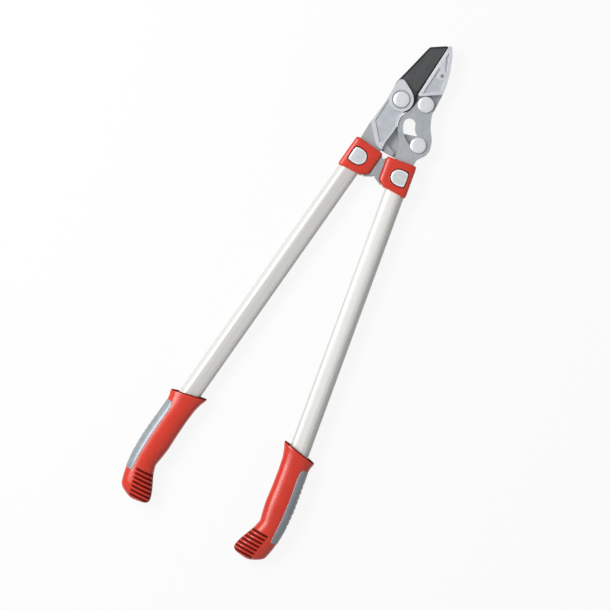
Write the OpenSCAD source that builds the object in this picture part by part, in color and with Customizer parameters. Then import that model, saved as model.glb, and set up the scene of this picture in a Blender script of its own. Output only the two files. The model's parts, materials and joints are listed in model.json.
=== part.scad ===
// Anvil lopper with a slotted compound lever, lying on its back with the jaws closed.
// The blade is fixed to the left lever. The anvil swings on the main pivot, and the right
// lever swings on the anvil while its cam slot rides on a pin in the foot of the left lever.

/* [Pivots] */
// Link pivot, across from the main pivot
link_x = 33; // [32:0.1:34]
// Link pivot, above the main pivot
link_y = 9.2; // [8:0.1:10]
// Cam pin, across from the main pivot
cam_x = 49.5; // [48.5:0.1:50.5]
// Cam pin, below the main pivot
cam_y = 45; // [44:0.1:46]
// Angle that the jaws open to
jaw_opening = 46; // [30:1:46]
// Swing of the right handle for each degree of the jaws
swing_share = 1.05; // [1.03:0.01:1.1]
// Diameter of the pivot pins
pin_d = 10; // [8:0.1:11]
// Diameter of the pin heads
pin_head_d = 22.5; // [20:0.1:23]
// Height of the pin heads
pin_head_h = 3.6; // [2.5:0.1:5]
// Diameter of the sleeve that runs in the cam slot
sleeve_d = 16; // [14.5:0.1:16.5]
// Wall of the bushes on the pivot pins
bush_wall = 1.5; // [1:0.1:1.8]

/* [Head plates] */
// Thickness of the blade
blade_t = 4; // [3.4:0.1:4.6]
// Thickness of the left lever's front cheek
cheek_t = 6; // [5.4:0.1:7]
// Thickness of the slotted lever
slotted_t = 7; // [6:0.1:7.5]
// Thickness of the rear layer, the anvil's tail and the left lever's foot
tail_t = 6; // [5:0.1:7]
// Height of the anvil jaw in front of the middle plane
jaw_front = 6; // [5:0.1:8]
// Depth of the sunk panels
panel_depth = 1.6; // [0.8:0.1:2]

/* [Jaws] */
// Distance of the cutting edge from the main pivot at its heel
edge_x = 16.8; // [16.4:0.1:17.2]
// Height of the edge's heel above the main pivot
edge_y = 16.6; // [16:0.1:17.2]
// Length of the cutting edge
edge_len = 78.5; // [74:0.5:84]
// Lean of the cutting edge
edge_lean = 5.4; // [4.5:0.1:6]
// Radius of the blade's heel about the main pivot
heel_r = 18; // [17.5:0.1:18.2]
// Length of the bevel behind the edge
bevel_l = 6.5; // [4:0.1:8]
// Width of the flat left on the cutting edge
edge_t = 0.5; // [0.3:0.1:0.8]
// Thickness of the soft anvil strip
strip_t = 3.2; // [2.4:0.1:4]
// Diameter of the screw that holds the strip
strip_screw_d = 5; // [4:0.1:6]

/* [Levers] */
// Radius of the left lever's head
head_r = 16.8; // [16:0.1:17.2]
// Radius of the anvil's bosses
boss_r = 14.2; // [13.6:0.1:14.6]
// Radius of the slotted lever's end at the link pivot
slotted_end_r = 11.6; // [11.3:0.1:11.8]
// Web left of the cam slot
slot_web = 7.4; // [6:0.1:7.8]
// Radius of the slotted lever's bulge round the cam pin
bulge_r = 17.2; // [16:0.1:18]
// Radius of the left lever's foot round the cam pin
foot_r = 13; // [12:0.1:14.5]
// Width of the left lever's neck at the collar
left_neck_w = 33; // [31:0.1:34]
// Width of the slotted lever's neck at the collar
right_neck_w = 27.5; // [26:0.1:29]
// How far the slotted lever's neck sits out from the collar's middle
right_neck_out = 3.1; // [2.6:0.1:3.4]
// Depth of the necks inside the collars
neck_depth = 9; // [7:0.1:10]
// Width of the tangs inside the tubes
tang_w = 16; // [13:0.1:17]
// Thickness of the left lever's tang
tang_t = 8; // [6.5:0.1:8.5]
// Length of the tangs, below the collar tops
tang_len = 80; // [60:1:120]

/* [Handles] */
// Middle line between the handles, across from the main pivot
handle_mid_x = 15.6; // [15.4:0.1:15.8]
// Distance of each tube from that line at the collar top
tube_spread = 29.9; // [29.8:0.1:30.4]
// Collar top, below the main pivot
collar_y = 74.2; // [74:0.1:76]
// Lean of each handle from the middle line
handle_lean = 7.5; // [7:0.1:7.7]
// Width of the tube
tube_w = 28.8; // [27.6:0.1:29.6]
// Thickness of the tube, front to back
tube_h = 20; // [19:0.1:20.6]
// Wall of the tube
tube_wall = 1.6; // [1.2:0.1:1.8]
// Tube top, below the collar top
tube_from = 11; // [10.6:0.1:13]
// Grip top, below the collar top
grip_from = 421; // [300:1:600]
// Length of tube inside the grip
tube_in_grip = 95; // [70:1:100]

/* [Collars] */
// Width of the collar
collar_w = 43.6; // [43:0.1:44]
// How far the collar sits in from the tube's middle
collar_shift = 5.4; // [5:0.1:5.6]
// Length of the collar in its middle
collar_len = 43; // [40:0.1:46]
// Thickness of the collar, front to back
collar_h = 27; // [26.4:0.1:29]
// Depth of the window that takes the cap
window_depth = 2; // [1.6:0.1:2.2]
// How far the cap stands proud of the window
cap_proud = 0.7; // [0.4:0.1:1]
// Width of the cap
cap_w = 23; // [20:0.1:24]
// Diameter of the rivet through collar, tube and tang
rivet_d = 6; // [4:0.1:7]
// Diameter of the rivet's heads
rivet_head_d = 10; // [8:0.1:11]
// Height of the rivet's heads
rivet_head_h = 0.8; // [0.5:0.1:1]
// Length of the bumper along the collar
bumper_len = 29; // [26:0.1:30]
// Thickness of the bumper, front to back
bumper_h = 18; // [14:0.1:20]
// Depth of the bumper's stem in the collar
stem_depth = 2.4; // [1.6:0.1:2.8]

/* [Grips] */
// Length of the grip
grip_len = 162; // [150:1:180]
// Width of the grip in the hand
grip_w = 37; // [36.4:0.1:40]
// Thickness of the grip, front to back
grip_h = 31; // [30.6:0.1:34]
// Thickness of the soft grip pad
pad_t = 2.2; // [1.6:0.1:2.4]
// How far the pad stands proud of the grip
pad_proud = 0.5; // [0.3:0.1:0.8]
// Depth of the grooves at the grip's end
groove_depth = 1.3; // [0.8:0.1:1.6]
// Width of each groove
groove_w = 2.2; // [1.6:0.1:2.8]
// Number of grooves
groove_n = 7; // [5:1:8]

/* [Fits] */
// Gap between plates that pass each other
layer_gap = 0.3; // [0.3:0.05:0.35]
// Radial clearance of the running fits
run_gap = 0.05; // [0.03:0.01:0.08]
// Radial clearance of the sleeve in the cam slot
slot_gap = 0.15; // [0.1:0.01:0.2]
// Clearance of parts that are fixed to each other
fit_gap = 0.1; // [0.05:0.01:0.15]
// Size of the chamfers on heads and nuts
chamfer = 0.8; // [0.4:0.1:1]

/* [Hidden] */
$fn = 72;

// Pivots, and the path of the cam pin seen from the slotted lever
link_p = [link_x, link_y];
cam_p = [cam_x, -cam_y];
function turned(p, a) = [p[0] * cos(a) - p[1] * sin(a), p[0] * sin(a) + p[1] * cos(a)];
function slot_at(b) = link_p + turned(cam_p - turned(link_p, -b), -swing_share * b);
function unit(p) = p / norm(p);
// Turn to each side, in degrees, over which the slot's direction is taken
slot_probe = 1;
function slot_normal(b) = turned(unit(slot_at(b + slot_probe) - slot_at(b - slot_probe)), 90);
slot_steps = 28;
slot_r = sleeve_d / 2 + slot_gap;
bush_r = pin_d / 2 + bush_wall;
nut_floor = 2.5 * chamfer;

// Cutting edge
edge_dir = [sin(edge_lean), cos(edge_lean)];
edge_out = [cos(edge_lean), -sin(edge_lean)];
edge_heel = [edge_x, edge_y];
edge_tip = edge_heel + edge_len * edge_dir;
function on_edge(along_share, out) = edge_heel + along_share * edge_len * edge_dir + out * edge_out;

// Slotted lever's own line from the link pivot to the cam pin
lever_v = cam_p - link_p;
lever_out = turned(unit(lever_v), 90);
function on_lever(along_share, out) = link_p + along_share * lever_v + out * lever_out;

// A handle's own frame in the plan, with u outward and v down the tube from the collar top
function on_handle(side, u, v) = [
  handle_mid_x + side * (tube_spread + u * cos(handle_lean) + v * sin(handle_lean)),
  -collar_y + u * sin(handle_lean) - v * cos(handle_lean)
];
neck_u = -collar_shift;
neck_path_shares = [[-0.5, -0.15], [-0.5, 1], [0.5, 1], [0.5, -0.15]];
function neck_points(side, w, out) = [
  for (s = neck_path_shares) on_handle(side, neck_u + out + s[0] * w, s[1] * neck_depth)
];

// Outlines as shares, chosen by hand, of the sizes that they follow
blade_back_shares = [[1, 0], [0.985, -0.045], [0.815, -0.272], [0.77, -0.284], [0.4, -0.352], [0, -0.431]];
blade_tang_shares = [
  [-1.03, -0.05], [-1.04, -0.285], [0.5, -0.315], [0.52, -0.2], [1.12, 0.03], [1.19, 0.13]
];
jaw_heel_share = [0.237, 0.368];
jaw_shares = [
  [1, 0.006], [1.02, 0.012], [1.025, 0.03], [1.018, 0.052], [0.885, 0.144], [0.65, 0.252],
  [0.445, 0.324], jaw_heel_share, [0.13, 0.225], [0.041, 0.107], [-0.01, 0.05]
];
jaw_panel_shares = [
  [0.075, 0.06], [0.9, 0.06], [0.86, 0.094], [0.625, 0.194], [0.425, 0.262], [0.272, 0.298], [0.25, 0.29],
  [0.085, 0.086]
];
jaw_rib_shares = [[0.85, 0.03], [0.587, 0.19], [0.52, 0.125], [0.66, 0.025]];
cheek_shares = [
  [-0.98, 0.23], [-0.91, 0.29], [-0.81, 0.323], [-0.64, 0.341], [-0.5, 0.338], [-0.4, 0.329],
  [0.07, 0.268], [0.39, 0.224], [0.66, 0.176], [0.82, 0.13], [0.82, -0.11], [0.65, -0.175],
  [0.555, -0.24], [0.545, -0.33], [0.565, -0.4], [0.69, -0.48], [0.62, -0.62], [0.45, -0.838],
  [0.47, -0.99], [0.18, -0.984], [-0.05, -0.955], [-0.22, -0.925], [-1.4, -0.617], [-1.3, -0.53],
  [-1.08, -0.194], [-1.02, 0.03]
];
panel_shares = [
  [-0.93, -0.1], [0.55, -0.1], [0.42, -0.25], [0.41, -0.33], [0.43, -0.41], [0.55, -0.485], [0.48, -0.62],
  [0.3, -0.838], [0.02, -0.885], [-1.12, -0.56], [-1.09, -0.5]
];
spine_shares = [
  [-1.21, -0.37], [0.57, -0.445], [0.69, -0.48], [0.62, -0.62], [0.45, -0.838], [0.47, -0.99],
  [0.18, -0.984], [-0.05, -0.955], [-0.22, -0.925], [-1.4, -0.617], [-1.3, -0.53]
];
foot_shares = [
  [0.1, -0.43], [0.6, -0.448], [1.22, -0.543], [2.62, -0.452], [3.3, -0.78], [2.2, -0.985],
  [1.65, -0.998], [1.26, -0.998], [0.47, -0.99], [-0.2, -0.9]
];
strip_rim_shares = [
  [0.44, -0.838], [0.7, -0.857], [1.44, -0.926], [1.5, -0.96], [1.48, -0.996], [1.26, -0.998],
  [0.68, -0.99], [0.62, -0.955], [0.5, -0.99], [0.3, -0.98]
];
base_shares = [[-1.4, -0.617], [-1.1, -0.6], [0.1, -0.9], [0.47, -0.97], [0.44, -1.02]];
lever_left_shares = [
  [-0.1, -0.17], [0.065, -0.258], [0.224, -0.376], [0.28, -0.444], [0.378, -0.525],
  [0.46, -0.547], [0.542, -0.545], [0.817, -0.5], [1.04, -0.452], [1.184, -0.445]
];
lever_right_shares = [
  [1.352, 0.034], [1.29, 0.12], [0.961, 0.31], [0.86, 0.308], [0.746, 0.284], [0.62, 0.241],
  [0.514, 0.214], [0.4, 0.2], [0.295, 0.194], [0.1, 0.2]
];
tube_shares = [
  [1, 0], [0.995, 0.22], [0.97, 0.36], [0.9, 0.52], [0.54, 0.94], [0.48, 0.99], [0.41, 1],
  [0.32, 0.99], [0, 0.925], [-0.5, 0.8], [-0.84, 0.66], [-0.94, 0.55], [-0.985, 0.38], [-1, 0.2]
];
cap_shares = [
  [0.44, -0.46], [0.48, -0.42], [0.5, -0.36], [0.5, 0.34], [0.47, 0.41], [0.42, 0.44], [0.36, 0.46],
  [0.02, 0.5], [-0.14, 0.48], [-0.28, 0.42], [-0.4, 0.31], [-0.47, 0.17], [-0.5, 0.02],
  [-0.48, -0.15], [-0.4, -0.3], [-0.28, -0.41], [-0.12, -0.48], [0.04, -0.5], [0.36, -0.48]
];
// Rows down the collar: place, inner side, outer side and thickness
collar_rows_shares = [
  [0, -0.46, 0.46, 0.87], [0.02, -0.485, 0.485, 0.945], [0.06, -0.497, 0.497, 0.985], [0.14, -0.5, 0.5, 1],
  [0.5, -0.5, 0.5, 1], [0.84, -0.5, 0.5, 1], [0.89, -0.44, 0.5, 1], [0.945, -0.37, 0.497, 0.985],
  [0.982, -0.32, 0.485, 0.945], [1, -0.285, 0.46, 0.87]
];
collar_slant_share = 0.15;
cap_place_share = 0.52;
grip_s_shares = [
  0, 0.008, 0.016, 0.025, 0.04, 0.06, 0.085, 0.115, 0.16, 0.22, 0.29, 0.36, 0.43, 0.5, 0.56, 0.61, 0.65,
  0.69, 0.73, 0.77, 0.81, 0.85, 0.885, 0.915, 0.94, 0.96, 0.975, 0.987, 0.995, 1
];
grip_outer_shares = [
  [0, 0.668], [0.006, 0.678], [0.018, 0.668], [0.06, 0.605], [0.12, 0.568], [0.22, 0.573], [0.35, 0.578],
  [0.49, 0.576], [0.58, 0.549], [0.66, 0.516], [0.73, 0.465], [0.8, 0.4], [0.86, 0.324],
  [0.91, 0.243], [0.95, 0.165], [0.975, 0.02], [0.99, -0.16], [1, -0.32]
];
grip_inner_shares = [
  [0, 0.64], [0.006, 0.652], [0.018, 0.64], [0.06, 0.57], [0.12, 0.515], [0.22, 0.5], [0.35, 0.51],
  [0.49, 0.54], [0.58, 0.52], [0.66, 0.49], [0.73, 0.615], [0.8, 0.8], [0.86, 0.953],
  [0.91, 1.05], [0.95, 1.075], [0.975, 0.95], [0.99, 0.74], [1, 0.54]
];
grip_thick_shares = [
  [0, 0.98], [0.006, 1], [0.018, 0.995], [0.06, 0.94], [0.15, 0.89], [0.3, 0.91], [0.5, 0.94],
  [0.66, 0.92], [0.8, 0.9], [0.9, 0.86], [0.95, 0.76], [0.975, 0.6], [0.99, 0.38], [1, 0.2]
];
grip_tilt_shares = [[0, 0.33], [0.05, 0.3], [0.12, 0.22], [0.22, 0.12], [0.35, 0.05], [0.49, 0], [1, 0]];
pad_shares = [
  [0.84, 0.118], [0.42, 0.128], [0.35, 0.15], [0.312, 0.217], [0.33, 0.36], [0.345, 0.5], [0.34, 0.58],
  [0.29, 0.7], [0.27, 0.765], [0.29, 0.795], [0.4, 0.805], [0.84, 0.81]
];
// First and last groove: place along the grip, and where the outer end lies across it
groove_v_shares = [0.767, 0.986];
groove_u_shares = [0.038, -0.27];
groove_tilt_share = 0.145;
ease_share = 0.012;
section_n = 28;
section_angles = [for (j = [0 : section_n - 1]) 360 * j / section_n];
section_power = 2.6;
collar_power = 7;

// Heights of the layers above the floor
mid_z = grip_h / 2 * max([for (s = grip_s_shares) eased(s, grip_thick_shares)]);
blade_z = mid_z - blade_t / 2;
cheek_z = mid_z + blade_t / 2;
cheek_top = cheek_z + cheek_t;
tail_top = blade_z - layer_gap;
tail_z = tail_top - tail_t;
slotted_top = blade_z + slotted_t;
jaw_top = mid_z + jaw_front;
base_top = mid_z + tang_t / 2;

// Shapes that are used more than once
function sized(shares, w, l) = [for (s = shares) [s[0] * w, s[1] * l]];
function edge_points(shares) = [for (s = shares) on_edge(s[0], s[1] * edge_len)];
function lever_points(shares) = [for (s = shares) on_lever(s[0], s[1] * norm(lever_v))];
module plate(points, z0, z1) {
  translate([0, 0, z0]) linear_extrude(z1 - z0) polygon(points);
}
module post(p, r, z0, z1) {
  translate([p[0], p[1], z0]) cylinder(r = r, h = z1 - z0);
}
module slot_body(r, z0, z1) {
  turns = [for (i = [0 : slot_steps]) jaw_opening * i / slot_steps];
  left = [for (b = turns) slot_at(b) + r * slot_normal(b)];
  right = [for (b = turns) slot_at(b) - r * slot_normal(b)];
  plate(concat(left, [for (i = [slot_steps : -1 : 0]) right[i]]), z0, z1);
  post(slot_at(0), r, z0, z1);
  post(slot_at(jaw_opening), r, z0, z1);
}
module loft(rows) {
  n = len(rows[0]);
  m = len(rows);
  sides = [for (i = [0 : m - 2]) for (j = [0 : n - 1]) each [
    [i * n + (j + 1) % n, i * n + j, (i + 1) * n + j],
    [i * n + (j + 1) % n, (i + 1) * n + j, (i + 1) * n + (j + 1) % n]
  ]];
  ends = [[for (j = [0 : n - 1]) j], [for (j = [n - 1 : -1 : 0]) (m - 1) * n + j]];
  polyhedron(points = [for (r = rows) each r], faces = concat(sides, ends));
}
function bent(c, power) = sign(c) * pow(abs(c), 2 / power);
module pin_head(p, z0) {
  translate([p[0], p[1], z0]) rotate_extrude() polygon([
    [0, 0], [pin_head_d / 2, 0], [pin_head_d / 2, pin_head_h - chamfer * 2],
    [pin_head_d / 2 - chamfer, pin_head_h - chamfer], [pin_head_d / 2 - chamfer * 4, pin_head_h],
    [0, pin_head_h]
  ]);
}
module pin_with_head(p, z0, head_z) {
  post(p, pin_d / 2, z0, head_z);
  pin_head(p, head_z);
}
module spanner_nut(p, top) {
  hole_r = pin_d / 8;
  edge_r = pin_head_d / 2;
  difference() {
    translate([p[0], p[1], 0]) rotate_extrude() polygon([
      [0, 0], [edge_r - chamfer, 0], [edge_r, chamfer], [edge_r, top - chamfer], [edge_r - chamfer, top],
      [pin_d / 2, top], [pin_d / 2, nut_floor], [0, nut_floor]
    ]);
    for (side = [-1, 1]) post(p + [side * (edge_r + pin_d / 2) / 2, 0], hole_r, -chamfer, nut_floor);
  }
}
module at_handle(side) {
  translate([handle_mid_x, 0, mid_z]) mirror([side < 0 ? 1 : 0, 0, 0])
    translate([tube_spread, -collar_y, 0]) rotate([0, 0, handle_lean]) children();
}
module along_tube(v0, v1) {
  translate([0, -v0, 0]) rotate([90, 0, 0]) linear_extrude(v1 - v0) children();
}
module tube_section(grow) {
  upper = [for (s = tube_shares) [s[0] * (tube_w / 2 + grow), s[1] * (tube_h / 2 + grow)]];
  lower = [for (i = [len(upper) - 1 : -1 : 1]) [upper[i][0], -upper[i][1]]];
  polygon(concat(upper, lower));
}

// Blade handle
screw_p = on_edge(-0.008, -0.335 * edge_len);
screw_r = pin_d / 4;
screw_head_r = screw_r * 1.6;
module screw_shape(gap) {
  translate([screw_p[0], screw_p[1], blade_z])
    cylinder(r1 = screw_head_r + gap, r2 = screw_r + gap, h = blade_t / 2);
  post(screw_p, screw_r + gap, blade_z, cheek_top - panel_depth + gap);
}
module blade() {
  tang = [for (s = blade_tang_shares) [s[0] * head_r, s[1] * collar_y]];
  color([0.22, 0.22, 0.23]) difference() {
    union() {
      plate(concat([edge_heel], edge_points(blade_back_shares), tang), blade_z, cheek_z);
      intersection() {
        post([0, 0], heel_r, blade_z, cheek_z);
        translate([-head_r, -heel_r, blade_z]) cube([heel_r * 3, heel_r * 2, blade_t]);
      }
    }
    post([0, 0], pin_d / 2 + fit_gap, 0, grip_h);
    screw_shape(fit_gap);
    for (face = [0, 1]) translate([edge_tip[0], edge_tip[1], mid_z]) mirror([0, 0, face])
      rotate([0, 0, -edge_lean]) translate([0, bevel_l, 0]) rotate([90, 0, 0])
        linear_extrude(edge_len + bevel_l * 2) polygon([
          [-bevel_l, blade_t / 2], [0, edge_t / 2], [bevel_l, edge_t / 2], [bevel_l, blade_t],
          [-bevel_l, blade_t]
        ]);
  }
}
module blade_lever() {
  base = sized(base_shares, head_r, collar_y);
  head_floor = cheek_top - panel_depth;
  color([0.75, 0.77, 0.8]) difference() {
    union() {
      plate(sized(cheek_shares, head_r, collar_y), cheek_z, cheek_top);
      post([0, 0], head_r, cheek_z, cheek_top);
      plate(sized(spine_shares, head_r, collar_y), tail_z, cheek_top);
      plate(sized(foot_shares, head_r, collar_y), tail_z, tail_top);
      post(cam_p, foot_r, tail_z, tail_top);
      plate(sized(strip_rim_shares, head_r, collar_y), tail_z, mid_z + blade_t * 0.75);
      plate(concat(base, neck_points(-1, left_neck_w, 0)), mid_z - tang_t / 2, base_top);
      at_handle(-1) along_tube(neck_depth - fit_gap, tang_len)
        polygon([for (s = [[-1, -1], [1, -1], [1, 1], [-1, 1]]) [s[0] * tang_w / 2, s[1] * tang_t / 2]]);
    }
    difference() {
      plate(sized(panel_shares, head_r, collar_y), head_floor, grip_h);
      post([0, 0], head_r, 0, grip_h);
    }
    post([0, 0], pin_head_d / 2 + chamfer * 2, head_floor, grip_h);
    post([0, 0], pin_d / 2 + fit_gap, 0, grip_h);
    screw_shape(fit_gap);
    post(cam_p, pin_d / 2 + fit_gap, 0, grip_h);
    at_handle(-1) rivet_hole();
  }
}
module blade_screw() {
  color([0.5, 0.5, 0.52]) difference() {
    screw_shape(0);
    post(screw_p, screw_r / 2, 0, blade_z + chamfer);
  }
}
module main_pivot_bolt() {
  washer_top = cheek_top - panel_depth + chamfer;
  color([0.85, 0.86, 0.87]) pin_with_head([0, 0], nut_floor, washer_top);
}
module main_pivot_washer() {
  color([0.6, 0.61, 0.63]) difference() {
    post([0, 0], pin_head_d / 2 + chamfer, cheek_top - panel_depth, cheek_top - panel_depth + chamfer);
    post([0, 0], pin_d / 2 + fit_gap, 0, grip_h);
  }
}
module main_pivot_nut() {
  color([0.55, 0.56, 0.58]) spanner_nut([0, 0], tail_z - layer_gap);
}
module cam_pin() {
  color([0.85, 0.86, 0.87]) pin_with_head(cam_p, nut_floor, slotted_top + layer_gap);
}
module cam_sleeve() {
  color([0.7, 0.66, 0.5]) difference() {
    post(cam_p, sleeve_d / 2, tail_top, slotted_top + layer_gap);
    post(cam_p, pin_d / 2, 0, grip_h);
  }
}
module cam_nut() {
  color([0.55, 0.56, 0.58]) spanner_nut(cam_p, tail_z);
}

// Anvil
strip_back = layer_gap + strip_t;
strip_end_share = 0.93;
strip_hole_out = 0.184 * edge_len;
strip_hole_p = on_edge(0.501, strip_hole_out);
lug_t = tail_t / 3;
lug_r = strip_screw_d * 1.3;
lug_end = strip_hole_out + lug_r;
module strip_shape() {
  plate([
    on_edge(0, layer_gap), on_edge(strip_end_share, layer_gap), on_edge(strip_end_share, strip_back),
    on_edge(0, strip_back)
  ], tail_z, jaw_top - chamfer);
  plate([
    on_edge(0.42, layer_gap), on_edge(0.58, layer_gap), on_edge(0.54, lug_end), on_edge(0.46, lug_end)
  ], tail_z, tail_z + lug_t);
}
module anvil_jaw() {
  down = turned(unit(link_p), -90) * boss_r;
  web = [
    [-0.5 * boss_r, 0.86 * boss_r], on_edge(0.05, -0.12 * edge_len), on_edge(0.3, layer_gap),
    on_edge(jaw_heel_share[0], jaw_heel_share[1] * edge_len), link_p + [boss_r, 0], link_p + down, down
  ];
  seat = [
    on_edge(-0.01, strip_back), on_edge(strip_end_share, strip_back), on_edge(strip_end_share, layer_gap)
  ];
  color([0.77, 0.79, 0.81]) difference() {
    union() {
      plate(concat(seat, edge_points(jaw_shares)), tail_z, jaw_top);
      plate(web, tail_z, tail_top);
      post([0, 0], boss_r, tail_z, tail_top);
      post(link_p, boss_r, tail_z, tail_top);
    }
    difference() {
      plate(edge_points(jaw_panel_shares), jaw_top - panel_depth, grip_h);
      plate(edge_points(jaw_rib_shares), 0, grip_h);
      post(strip_hole_p, lug_r, 0, grip_h);
    }
    strip_shape();
    post(strip_hole_p, strip_screw_d / 2 + fit_gap, 0, grip_h);
    post([0, 0], bush_r, 0, grip_h);
    post(link_p, pin_d / 2 + fit_gap, 0, grip_h);
  }
}
module anvil_strip() {
  color([0.84, 0.85, 0.86]) difference() {
    strip_shape();
    post(strip_hole_p, strip_screw_d / 2 + fit_gap, 0, grip_h);
  }
}
module anvil_screw() {
  socket_r = strip_screw_d / 4;
  top = jaw_top - panel_depth - chamfer;
  color([0.3, 0.3, 0.31]) difference() {
    post(strip_hole_p, strip_screw_d / 2, tail_z, top);
    translate([strip_hole_p[0], strip_hole_p[1], top - chamfer * 2])
      cylinder(r = socket_r, h = chamfer * 3, $fn = 6);
  }
}
module anvil_bush() {
  color([0.72, 0.6, 0.35]) difference() {
    post([0, 0], bush_r, tail_z, tail_top);
    post([0, 0], pin_d / 2 + run_gap, 0, grip_h);
  }
}
module link_pivot_bolt() {
  color([0.85, 0.86, 0.87]) pin_with_head(link_p, nut_floor, slotted_top + layer_gap);
}
module link_pivot_nut() {
  color([0.55, 0.56, 0.58]) spanner_nut(link_p, tail_z);
}

// Slotted handle
module slotted_lever() {
  low = -blade_t / 2;
  color([0.64, 0.66, 0.68]) difference() {
    union() {
      plate(concat(
        lever_points(lever_left_shares), neck_points(1, right_neck_w, right_neck_out),
        lever_points(lever_right_shares)
      ), blade_z, slotted_top);
      post(link_p, slotted_end_r, blade_z, slotted_top);
      post(cam_p, bulge_r, blade_z, slotted_top);
      slot_body(slot_r + slot_web, blade_z, slotted_top);
      at_handle(1) along_tube(neck_depth - fit_gap, tang_len) polygon([
        [-tang_w / 2, low], [tang_w / 2, low], [tang_w / 2, low + slotted_t], [-tang_w / 2, low + slotted_t]
      ]);
    }
    slot_body(slot_r, 0, grip_h);
    post(link_p, bush_r, 0, grip_h);
    at_handle(1) rivet_hole();
  }
}
module lever_bush() {
  color([0.72, 0.6, 0.35]) difference() {
    post(link_p, bush_r, blade_z, slotted_top);
    post(link_p, pin_d / 2 + run_gap, 0, grip_h);
  }
}

// Handle pieces, drawn in a handle's own frame
rivet_p = [neck_u + cap_w * 0.17, -collar_len * cap_place_share];
window_p = rivet_p - [cap_w * 0.03, 0];
window_z = collar_h / 2 - window_depth;
module rivet_hole() {
  post(rivet_p, rivet_d / 2 + fit_gap, -grip_h, grip_h);
}
module tube() {
  color([0.85, 0.86, 0.87]) difference() {
    along_tube(tube_from, grip_from + tube_in_grip) tube_section(0);
    along_tube(tube_from - tube_wall, grip_from + tube_in_grip + tube_wall) tube_section(-tube_wall);
    rivet_hole();
  }
}
module rivet() {
  color([0.6, 0.61, 0.63]) {
    post(rivet_p, rivet_d / 2, -window_z, window_z);
    for (face = [0, 1]) mirror([0, 0, face])
      post(rivet_p, rivet_head_d / 2, window_z, window_z + rivet_head_h);
  }
}
module cap_plan(grow) {
  w = cap_w + grow * 2;
  translate(window_p) polygon(sized(cap_shares, w, w));
}
module caps() {
  color([0.78, 0.8, 0.82]) for (face = [0, 1]) mirror([0, 0, face]) difference() {
    union() {
      translate([0, 0, window_z]) linear_extrude(window_depth) cap_plan(0);
      translate([0, 0, window_z + window_depth]) linear_extrude(cap_proud) cap_plan(-chamfer);
    }
    post(rivet_p, rivet_head_d / 2 + fit_gap, -grip_h, window_z + rivet_head_h + fit_gap);
  }
}
module neck_block(w, out, z0, z1) {
  translate([neck_u + out - w / 2 - fit_gap, -tube_from, z0 - fit_gap])
    cube([w + fit_gap * 2, collar_len, z1 - z0 + fit_gap * 2]);
}
function collar_point(row, a) =
  let (across_share = bent(cos(a), collar_power) * (row[2] - row[1]) + row[2] + row[1])
  let (u = across_share * collar_w / 2)
  [
    neck_u + u, -row[0] * (collar_len + u * collar_slant_share),
    bent(sin(a), collar_power) * collar_h / 2 * row[3]
  ];
function middle_line(v) = -(tube_spread + v * sin(handle_lean)) / cos(handle_lean);
function bumper_face(v) = middle_line(v) + layer_gap / 2 + fit_gap;
bumper_v = 4 * chamfer;
// Rows of the collar that the bumper lies against, from the lowest up
bumper_rows = [7, 6, 5];
collar_in = neck_u - collar_w / 2;
module bumper_stem() {
  translate([collar_in - fit_gap, -bumper_v - bumper_len * 0.55, -bumper_h * 0.35])
    cube([stem_depth, bumper_len * 0.45, bumper_h * 0.7]);
}
module bumper() {
  v0 = bumper_v;
  v1 = bumper_v + bumper_len;
  cut = chamfer * 3;
  touched = [for (i = bumper_rows) collar_point(collar_rows_shares[i], 180)];
  seat = [for (p = touched) p - [fit_gap, layer_gap, 0]];
  tail = seat[0] - [chamfer, chamfer, 0];
  color([0.55, 0.57, 0.58]) {
    translate([0, 0, -bumper_h / 2]) linear_extrude(bumper_h) polygon(concat([
      [collar_in - fit_gap, -v0], [bumper_face(v0) + cut, -v0], [bumper_face(v0 + cut), -v0 - cut],
      [bumper_face(v1 - cut), -v1 + cut], [bumper_face(v1) + cut / 2, -v1], [tail[0], tail[1]]
    ], [for (p = seat) [p[0], p[1]]]));
    bumper_stem();
  }
}
module collar(neck_w, neck_out, z0, z1) {
  rows = [for (r = collar_rows_shares) [for (a = section_angles) collar_point(r, a)]];
  color([0.85, 0.2, 0.12]) difference() {
    loft(rows);
    neck_block(neck_w, neck_out, z0, z1);
    along_tube(tube_from - fit_gap, collar_len * 2) tube_section(fit_gap);
    rivet_hole();
    for (face = [0, 1]) mirror([0, 0, face])
      translate([0, 0, window_z]) linear_extrude(grip_h) cap_plan(fit_gap * 4);
    bumper_stem();
  }
}
function eased(s, table) =
  (lookup(s - ease_share, table) + 2 * lookup(s, table) + lookup(s + ease_share, table)) / 4;
function grip_point(s, a, grow) =
  let (out = eased(s, grip_outer_shares) * grip_w, in = eased(s, grip_inner_shares) * grip_w)
  let (u = (out - in) / 2 + bent(cos(a), section_power) * ((out + in) / 2 + grow))
  [u, -(grip_from + s * grip_len + eased(s, grip_tilt_shares) * u),
    bent(sin(a), section_power) * (eased(s, grip_thick_shares) * grip_h / 2 + grow)];
module grip_body(grow) {
  loft([for (s = grip_s_shares) [for (a = section_angles) grip_point(s, a, grow)]]);
}
module pad_zone() {
  translate([0, -grip_from, -grip_h]) linear_extrude(grip_h * 2)
    polygon([for (s = pad_shares) [s[0] * grip_w, -s[1] * grip_len]]);
}
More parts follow.
